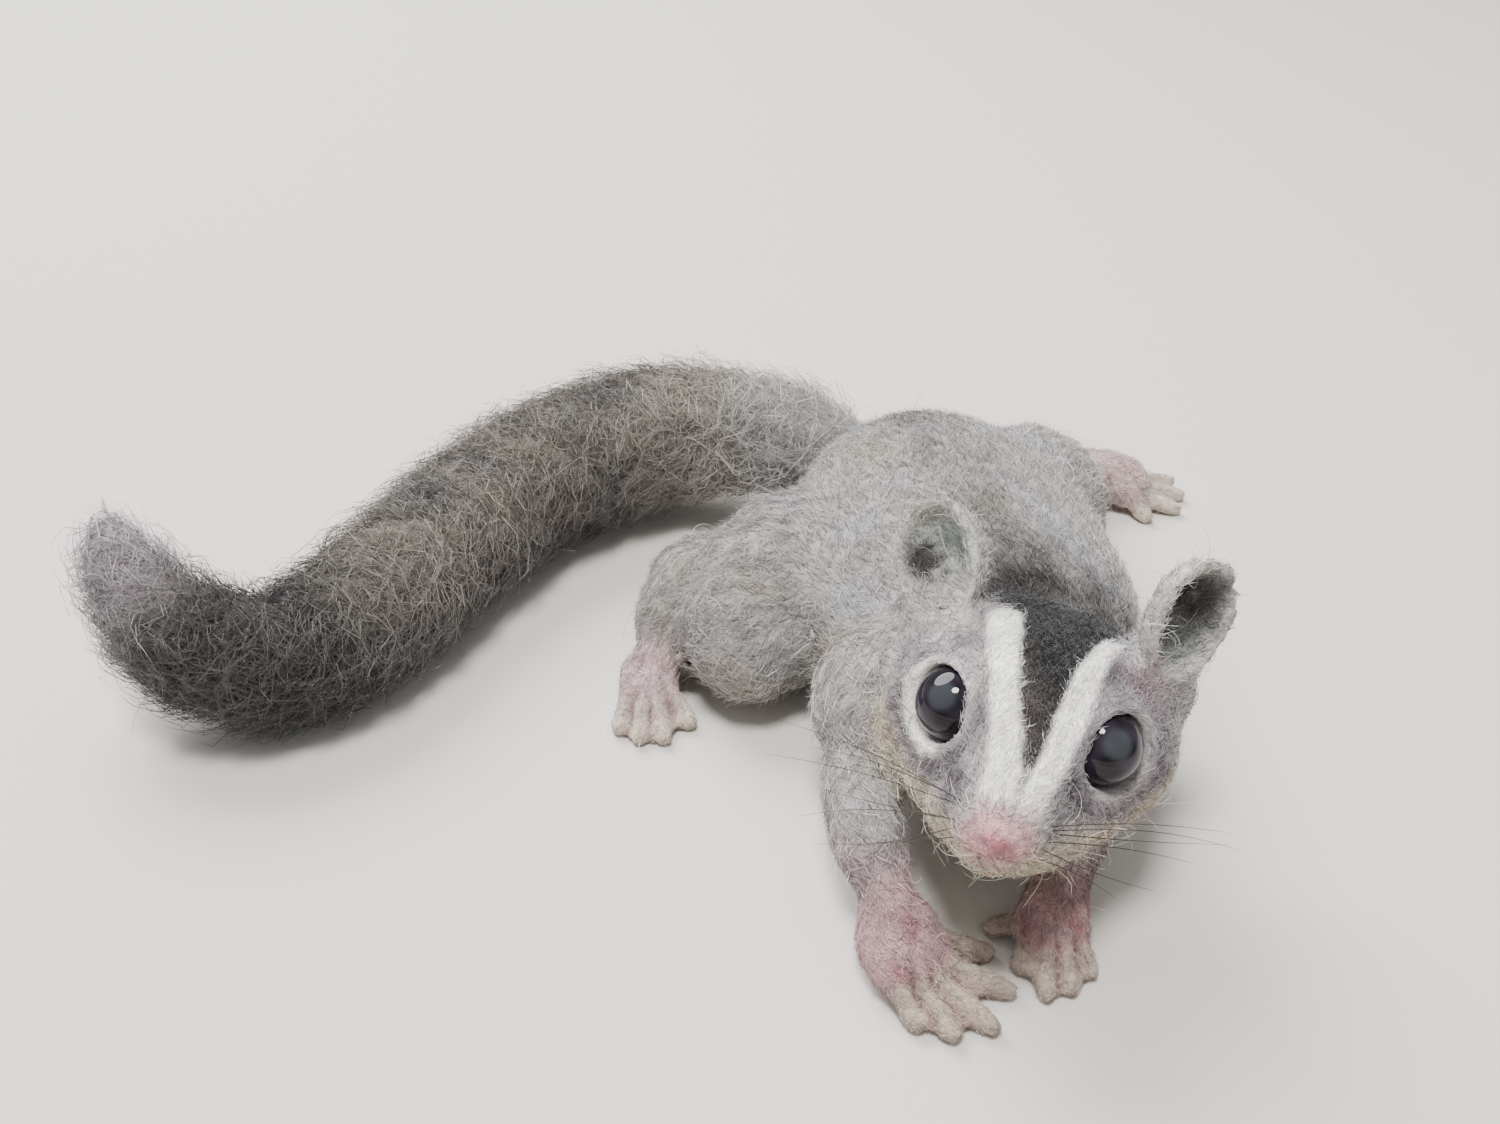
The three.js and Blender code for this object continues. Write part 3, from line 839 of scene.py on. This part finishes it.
def layPaths(roots, way, lengths, heights, wave, steps, hug=True):
    # heights: a row of heights over the skin for each step; wave: how far the tuft sways, in mm
    count, draw = len(way), roots["draw"]
    shares = np.linspace(0, 1, steps + 1)
    normal = roots["normal"]
    across = np.cross(normal, way)
    phase = draw.uniform(0, 2 * math.pi, count)
    turns = draw.uniform(0.5, 1.3, count)
    paths = np.empty((count, steps + 1, 3))
    for j, share in enumerate(shares):
        sway = wave * (np.sin(phase + 2 * math.pi * turns * share) - np.sin(phase)) * share ** 0.5
        flat = roots["at"] + way * (lengths * share)[:, None] + across * sway[:, None]
        lift = normal
        if hug and j > 0:
            flat, lift = drape(flat)
        paths[:, j] = flat + lift * heights[:, j][:, None]
    for side in (1, -1):  # pushed aside where it would lie over the glass
        apart = paths - eyeOpenings[side]
        ahead = apart @ eyeWays[side]
        apart = apart - ahead[..., None] * eyeWays[side]
        push = np.maximum(face["glassClear"] - np.linalg.norm(apart, axis=-1), 0) * (np.abs(ahead) < 5)
        paths = paths + unit(apart) * push[..., None]
    paths[:, :, 2] = np.maximum(paths[:, :, 2], 0.08)
    return paths


def tuftMesh(name, paths, widths, colours, uvs, taper):
    # closed three-sided tufts: a ring at each stop but the last, then a point
    count, stops = paths.shape[:2]
    tangents = unit(np.gradient(paths, axis=1))
    aside = np.zeros_like(tangents)
    aside[..., 2] = 1
    sideways = np.cross(tangents, aside)
    flat = np.linalg.norm(sideways, axis=2) < 0.2
    sideways[flat] = np.cross(tangents[flat], np.array([1.0, 0, 0]))
    sideways = unit(sideways)
    upward = np.cross(sideways, tangents)
    rings = []
    for j in range(stops - 1):
        size = (widths / 2 * taper[j])[:, None]
        for k in range(3):
            a = 2 * math.pi * k / 3
            rings.append(paths[:, j] + (sideways[:, j] * math.cos(a) + upward[:, j] * math.sin(a)) * size)
    rings.append(paths[:, -1])
    points = np.stack(rings, 1)
    each = points.shape[1]
    faces = [[2, 1, 0]]
    for j in range(stops - 2):
        for k in range(3):
            a, b = 3 * j + k, 3 * j + (k + 1) % 3
            faces += [[a, b, b + 3], [a, b + 3, a + 3]]
    last = 3 * (stops - 2)
    faces += [[last + k, last + (k + 1) % 3, each - 1] for k in range(3)]
    faces = np.array(faces)
    triangles = (faces[None] + (np.arange(count) * each)[:, None, None]).reshape(-1, 3)
    mesh = bpy.data.meshes.new(name)
    mesh.vertices.add(count * each)
    mesh.vertices.foreach_set("co", (points.reshape(-1, 3) * mm).astype(np.float32).ravel())
    mesh.loops.add(len(triangles) * 3)
    mesh.loops.foreach_set("vertex_index", triangles.astype(np.int32).ravel())
    mesh.polygons.add(len(triangles))
    mesh.polygons.foreach_set("loop_start", np.arange(len(triangles), dtype=np.int32) * 3)
    mesh.update(calc_edges=True)
    shades = np.repeat(colours[:, None], each, 1)
    rise = np.minimum(np.arange(each) // 3, stops - 1) / (stops - 1)
    # painted shade at the root, painted light towards the tip
    shades = shades * (tufts["rootPaintedShade"] + tufts["tipPaintedLight"] * rise)[None, :, None]
    addColours(mesh, "wool", shades.reshape(-1, 3))
    patch = tufts["patch"]
    spot = np.stack([rise * patch, (np.arange(each) % 3) / 2 * patch], 1)
    places = (uvs[:, None] + spot[None]).reshape(-1, 2)
    layer = mesh.uv_layers.new(name="OFBake")
    layer.uv.foreach_set("vector", places[triangles.ravel()].astype(np.float32).ravel())
    return mesh


def addTufts(name, roots, paths, widths, taper, material, brighten=1.0, vary=0.26):
    colours = paint(roots["at"], roots["normal"], roots["parts"])
    level = brighten * np.exp(roots["draw"].normal(size=len(colours)) * vary)
    colours = np.clip(colours * level[:, None], tufts["darkest"], tufts["lightest"])
    trianglesEach = 1 + 6 * (paths.shape[1] - 2) + 3  # the foot, the sides and the point
    most = tufts["mostTriangles"] // trianglesEach
    for i, start in enumerate(range(0, len(paths), most)):
        part = slice(start, start + most)
        mesh = tuftMesh(f"{name}_{i + 1}", paths[part], widths[part], colours[part], roots["uv"][part], taper)
        addPiece(f"{name}_{i + 1}", mesh, material)


woolFine = woolMaterial("wool_fine", 0.75, 0.25)
woolLong = woolMaterial("wool_long", 0.6, 0.35)


# felted fibres lie flat, both ends caught in the felt

fibreCoat = {"count": 33000, "length": 3.6, "width": 0.13, "arch": 0.5, "wave": 0.7, "mostFiner": 0.74,
             "finer": {"head": 0.42, "nose": 0.3, "ear": 0.4, "paw": 0.5, "digit": 0.22}}


def finerBy(coat, parts):  # how much shorter the wool is on the face, ears and paws
    return np.clip(sum(parts[name] * share for name, share in coat["finer"].items()), 0, coat["mostFiner"])


def growFibres():
    roots = sowRoots(fibreCoat["count"], densityOf("fibres"), 101)
    draw, parts = roots["draw"], roots["parts"]
    small = finerBy(fibreCoat, parts)
    lengths = fibreCoat["length"] * (1 - small) * draw.uniform(0.65, 1.35, len(small))
    widths = fibreCoat["width"] * (1 - small * 0.55) * draw.uniform(0.7, 1.3, len(small))
    arch = fibreCoat["arch"] * (1 - small) * draw.uniform(0.4, 1.6, len(small))
    arch = arch * (1 - 0.8 * stripeMask(onHead(roots["at"])) * parts["head"])
    heights = np.outer(arch, [-0.1, 0.8, 0.9, 0.35]) + 0.04
    way = combed(roots, 9, 0.55, 0.55, 7)
    paths = layPaths(roots, way, lengths, heights, fibreCoat["wave"] * (1 - small * 0.6), 3)
    addTufts("felt_fibres", roots, paths, widths, [0.7, 1, 0.8], woolFine)


# nap: short hairs that stand out of the felt

napCoat = {"count": 37000, "length": 2.1, "width": 0.08, "wave": 0.25, "mostFiner": 0.7,
           "finer": {"head": 0.35, "paw": 0.45, "ear": 0.3, "digit": 0.25}}


def growNap():
    density = densityOf("nap") * (1 - 0.85 * stripeMask(onHead(skinPoints)) * isHead)
    roots = sowRoots(napCoat["count"], density, 202)
    draw = roots["draw"]
    small = finerBy(napCoat, roots["parts"])
    lengths = napCoat["length"] * (1 - small) * draw.uniform(0.6, 1.4, len(small))
    widths = napCoat["width"] * (1 - small * 0.4) * draw.uniform(0.7, 1.3, len(small))
    lift = np.radians(draw.uniform(14, 52, len(small)))
    heights = lengths[:, None] * np.sin(lift)[:, None] * np.array([-0.08, 0.55, 0.92])[None]
    way = combed(roots, 12, 0.35, 0.5, 8)
    paths = layPaths(roots, way, lengths * np.cos(lift), heights, napCoat["wave"], 2, hug=False)
    addTufts("nap", roots, paths, widths, [1, 0.7], woolFine, brighten=1.16, vary=0.45)


# the tail's long wool, drawn into loose locks

tailCoat = {"count": 21000, "length": 7.0, "width": 0.12, "wave": 1.9}


def growTail():
    roots = sowRoots(tailCoat["count"], densityOf("long"), 303)
    draw = roots["draw"]
    count = len(roots["at"])
    lengths = tailCoat["length"] * draw.uniform(0.45, 1.3, count)
    widths = tailCoat["width"] * draw.uniform(0.6, 1.3, count)
    lift = np.radians(draw.uniform(4, 30, count) + 8 * ripples(roots["at"], 9, 61))
    lift = np.clip(lift, 0.02, 0.9)
    rise = np.array([0, 0.45, 0.8, 0.95, 0.9])
    heights = lengths[:, None] * np.sin(lift)[:, None] * rise[None] - 0.1
    way = combed(roots, 12, 0.8, 0.75, 9)
    paths = layPaths(roots, way, lengths * np.cos(lift), heights, tailCoat["wave"], 4)
    taper = [0.8, 1, 0.85, 0.55]
    addTufts("tail_wool", roots, paths, widths, taper, woolLong, brighten=1.3, vary=0.35)


# stray curls: a few thin loose fibres that loop out of the felt

strayCoat = {"count": 2900, "length": 7.5, "width": 0.075, "steps": 8}


def growStrays():
    local = onHead(skinPoints)
    density = 0.3 + isHead * (1.0 + 3.4 * (local[:, 2] < -4))
    density = density + 1.4 * isPaw + 2.4 * isTail + 0.8 * isEar
    density = density * (1 - isNose) * (1 - 0.7 * isDigit) * (1 - stripeMask(local))
    for away, ahead in eyeDistances(skinPoints).values():
        density = density * (1 - (1 - between(6.5, 9, away)) * (np.abs(ahead) < 8))
    roots = sowRoots(strayCoat["count"], density, 404)
    draw = roots["draw"]
    count, steps = strayCoat["count"], strayCoat["steps"]
    small = 1 - 0.45 * roots["parts"]["paw"] - 0.2 * roots["parts"]["head"]
    lengths = strayCoat["length"] * small * draw.uniform(0.5, 1.3, count)
    way = combed(roots, 12, 0.5, 1.0, 11)
    across = np.cross(roots["normal"], way)
    ahead = unit(way + roots["normal"] * draw.uniform(0.1, 0.9, count)[:, None])
    twist = draw.normal(size=(count, 3)) * 0.9
    paths = np.empty((count, steps + 1, 3))
    paths[:, 0] = roots["at"]
    for j in range(steps):  # each step turns a little more about its own axis
        paths[:, j + 1] = paths[:, j] + ahead * (lengths / steps)[:, None]
        bend = unit(across + twist)
        ahead = unit(ahead + np.cross(bend, ahead) * draw.uniform(0.15, 0.6, count)[:, None])
    paths[:, :, 2] = np.maximum(paths[:, :, 2], 0.1)
    widths = strayCoat["width"] * draw.uniform(0.7, 1.3, count)
    taper = np.interp(np.arange(steps), [0, steps], [1, 0.55])
    addTufts("stray_curls", roots, paths, widths, taper, woolLong, brighten=1.5, vary=0.25)


print("wool: felted fibres")
growFibres()
print("wool: nap")
growNap()
print("wool: tail")
growTail()
print("wool: stray curls")
growStrays()


# glass eyes: dark domes with a slight bulge in front

glass = {"rings": 64, "segments": 72, "bulge": 0.35, "dark": shade("0d0a10"), "plum": shade("2b2330"),
         "pupil": shade("3b3e43"), "pupilAngle": 20, "pupilWay": (0.33, -0.76, 0.5), "roughness": 0.03,
         "bending": 1.36}


def glassMaterial():
    material, tree, shader = newMaterial("eye_glass")
    setSockets(shader, Roughness=glass["roughness"], IOR=glass["bending"])
    colour = tree.nodes.new("ShaderNodeAttribute")
    colour.attribute_name = "glass"
    join(tree, colour, "Color", shader, "Base Color")
    return material


def addEye(name, side, material):
    way = eyeWays[side]
    across = unit(np.cross(way, headTurn[:, 2]))
    upward = np.cross(across, way)
    points, faces = [], []
    for i in range(1, glass["rings"]):
        a = math.pi * i / glass["rings"]
        for j in range(glass["segments"]):
            b = 2 * math.pi * j / glass["segments"]
            swell = glass["bulge"] * math.exp(-((a / 0.6) ** 2))
            out = way * math.cos(a) + (across * math.cos(b) + upward * math.sin(b)) * math.sin(a)
            points.append(eyeBalls[side] + out * (face["eyeRadius"] + swell))
    points.append(eyeBalls[side] + way * (face["eyeRadius"] + glass["bulge"]))
    points.append(eyeBalls[side] - way * face["eyeRadius"])
    ring = glass["segments"]
    for i in range(glass["rings"] - 2):
        for j in range(ring):
            k = (j + 1) % ring
            faces.append([i * ring + j, (i + 1) * ring + j, (i + 1) * ring + k, i * ring + k])
    front, back = len(points) - 2, len(points) - 1
    last = (glass["rings"] - 2) * ring
    for j in range(ring):
        k = (j + 1) % ring
        faces.append([front, j, k])
        faces.append([last + j, back, last + k])
    mesh = bpy.data.meshes.new(name)
    mesh.from_pydata((np.array(points) * mm).tolist(), [], faces)
    mesh.update()
    out = unit(np.array(points) - eyeBalls[side])
    pupilWay = headTurn @ unit(np.array(glass["pupilWay"]) * (side, 1, 1))
    off = np.degrees(np.arccos(np.clip(out @ pupilWay, -1, 1)))
    milky = (1 - between(glass["pupilAngle"] * 0.7, glass["pupilAngle"] * 1.3, off))[:, None]
    cloud = np.clip(0.4 + 0.6 * ripples(out * 5, 3.4, 71 + side), 0, 1)[:, None]
    tint = glass["dark"] * (1 - cloud) + glass["plum"] * cloud
    addColours(mesh, "glass", tint * (1 - milky) + glass["pupil"] * milky * (0.8 + 0.2 * cloud))
    eye = addPiece(name, mesh, material)
    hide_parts("eye_left" if side > 0 else "eye_right")


eyeGlass = glassMaterial()
addEye("glass_eye_left", 1, eyeGlass)
addEye("glass_eye_right", -1, eyeGlass)
print("eyes set")


# whiskers: dark bristles from the sides of the muzzle

whiskers = {
    "colour": shade("2a241f"), "width": 0.15, "steps": 10, "roughness": 0.45, "streakScale": 260.0,
    # start on the head, then the end, both in the head's axes
    "right": [((-4.9, -12.6, -4.6), (-29, -8, -4)), ((-5.0, -12.2, -5.4), (-29.5, -8, -9)),
              ((-4.7, -13.2, -6.8), (-24, -9.5, -15.5)), ((-4.6, -13.6, -7.4), (-21, -11.5, -17)),
              ((-5.3, -11.6, -5.0), (-25, -7, -7)), ((-5.2, -12.2, -7.4), (-23, -8, -11.5)),
              ((-4.4, -14.2, -8.4), (-16, -12.5, -15))],
    "left": [((5.0, -12.4, -4.8), (25, -7, -2)), ((5.2, -12.0, -5.6), (27, -5, -5)),
             ((5.0, -12.8, -6.6), (23, -4, -9)), ((4.8, -13.4, -7.2), (19, -9, -11)),
             ((5.5, -11.4, -6.2), (26, -1, -7)), ((4.6, -14.0, -8.2), (15, -10, -13))],
}


def bristleMaterial():
    material, tree, shader = newMaterial("bristle")
    shader.inputs["Roughness"].default_value = whiskers["roughness"]
    place = tree.nodes.new("ShaderNodeTexCoord")
    streak = addNode(tree, "TexNoise", Scale=whiskers["streakScale"], Detail=2.0)
    join(tree, place, "Object", streak, "Vector")
    ramp = tree.nodes.new("ShaderNodeValToRGB")
    ramp.color_ramp.elements[0].color = (*whiskers["colour"], 1)
    ramp.color_ramp.elements[1].color = (*(whiskers["colour"] * 2.2), 1)
    join(tree, streak, "Fac", ramp, "Fac")
    join(tree, ramp, "Color", shader, "Base Color")
    return material


def addWhiskers():
    paths = []
    draw = np.random.default_rng(77)
    shares = np.linspace(0, 1, whiskers["steps"] + 1)
    for side in ("right", "left"):
        for start, end in whiskers[side]:
            a, b = offHead(start), offHead(end)
            bend = np.array([0, 0, 1]) * draw.uniform(0.3, 1.4) + draw.normal(size=3) * 0.5
            paths.append([a + (b - a) * s + bend * math.sin(math.pi * s) for s in shares])
    paths = np.array(paths)
    widths = np.full(len(paths), whiskers["width"])
    taper = np.interp(shares[:-1], [0, 0.3, 1], [1, 0.9, 0.3])
    uvs = np.stack([np.arange(len(paths)) / len(paths) * 0.9 + 0.02, np.full(len(paths), 0.5)], 1)
    colours = np.repeat(whiskers["colour"][None], len(paths), 0)
    mesh = tuftMesh("whiskers", paths, widths, colours, uvs, taper)
    addPiece("whiskers", mesh, bristleMaterial())


addWhiskers()
print("whiskers set")


# stage: a plain pale floor, soft light and the camera

stage = {
    "cameraPlace": (9.70, -167.34, 146.2), "cameraDip": 36, "lens": 33.6, "sensor": 36,
    "floorSize": 30.0, "floor": shade("d9d5cf"), "world": 0.52, "worldColour": (0.98, 0.985, 1.0),
}

# lamps: places and sizes in metres, power in watts
lamps = {
    "key": {"place": (-0.05, -0.18, 0.8), "target": (0.02, 0, 0.02), "size": 0.22, "power": 8.5,
            "colour": (1, 0.985, 0.96)},
    "back": {"place": (-0.35, 0.55, 0.75), "target": (0, 0, 0.02), "size": 0.7, "power": 17.0,
             "colour": (0.98, 0.99, 1)},
}


def addFloor():
    half = stage["floorSize"] / 2
    mesh = bpy.data.meshes.new("floor")
    corners = [(-half, -half, 0), (half, -half, 0), (half, half, 0), (-half, half, 0)]
    mesh.from_pydata(corners, [], [(0, 1, 2, 3)])
    floor = linked("floor", mesh)
    material, _, shader = newMaterial("floor_paper")
    setSockets(shader, Base_Color=(*stage["floor"], 1), Roughness=0.9, Specular_IOR_Level=0.1)
    mesh.materials.append(material)


def addLamp(name, place, target, size, power, colour):
    data = bpy.data.lights.new(name, "AREA")
    data.shape = "DISK"
    data.size = size
    data.energy = power
    data.color = colour
    lamp = linked(name, data)
    lamp.location = place
    lamp.rotation_euler = (Vector(target) - Vector(place)).to_track_quat("-Z", "Y").to_euler()


addFloor()
world = bpy.data.worlds.new("room")
bpy.context.scene.world = world
world.use_nodes = True
air = world.node_tree.nodes["Background"]
setSockets(air, Color=(*stage["worldColour"], 1), Strength=stage["world"])
for lampName, lampSettings in lamps.items():
    addLamp(lampName, **lampSettings)

cameraData = bpy.data.cameras.new("camera")
cameraData.lens = stage["lens"]
cameraData.sensor_width = stage["sensor"]
cameraData.clip_start = 0.01
camera = linked("camera", cameraData)
camera.location = [v * mm for v in stage["cameraPlace"]]
camera.rotation_euler = (math.radians(90 - stage["cameraDip"]), 0, 0)
bpy.context.scene.camera = camera
print("stage set")
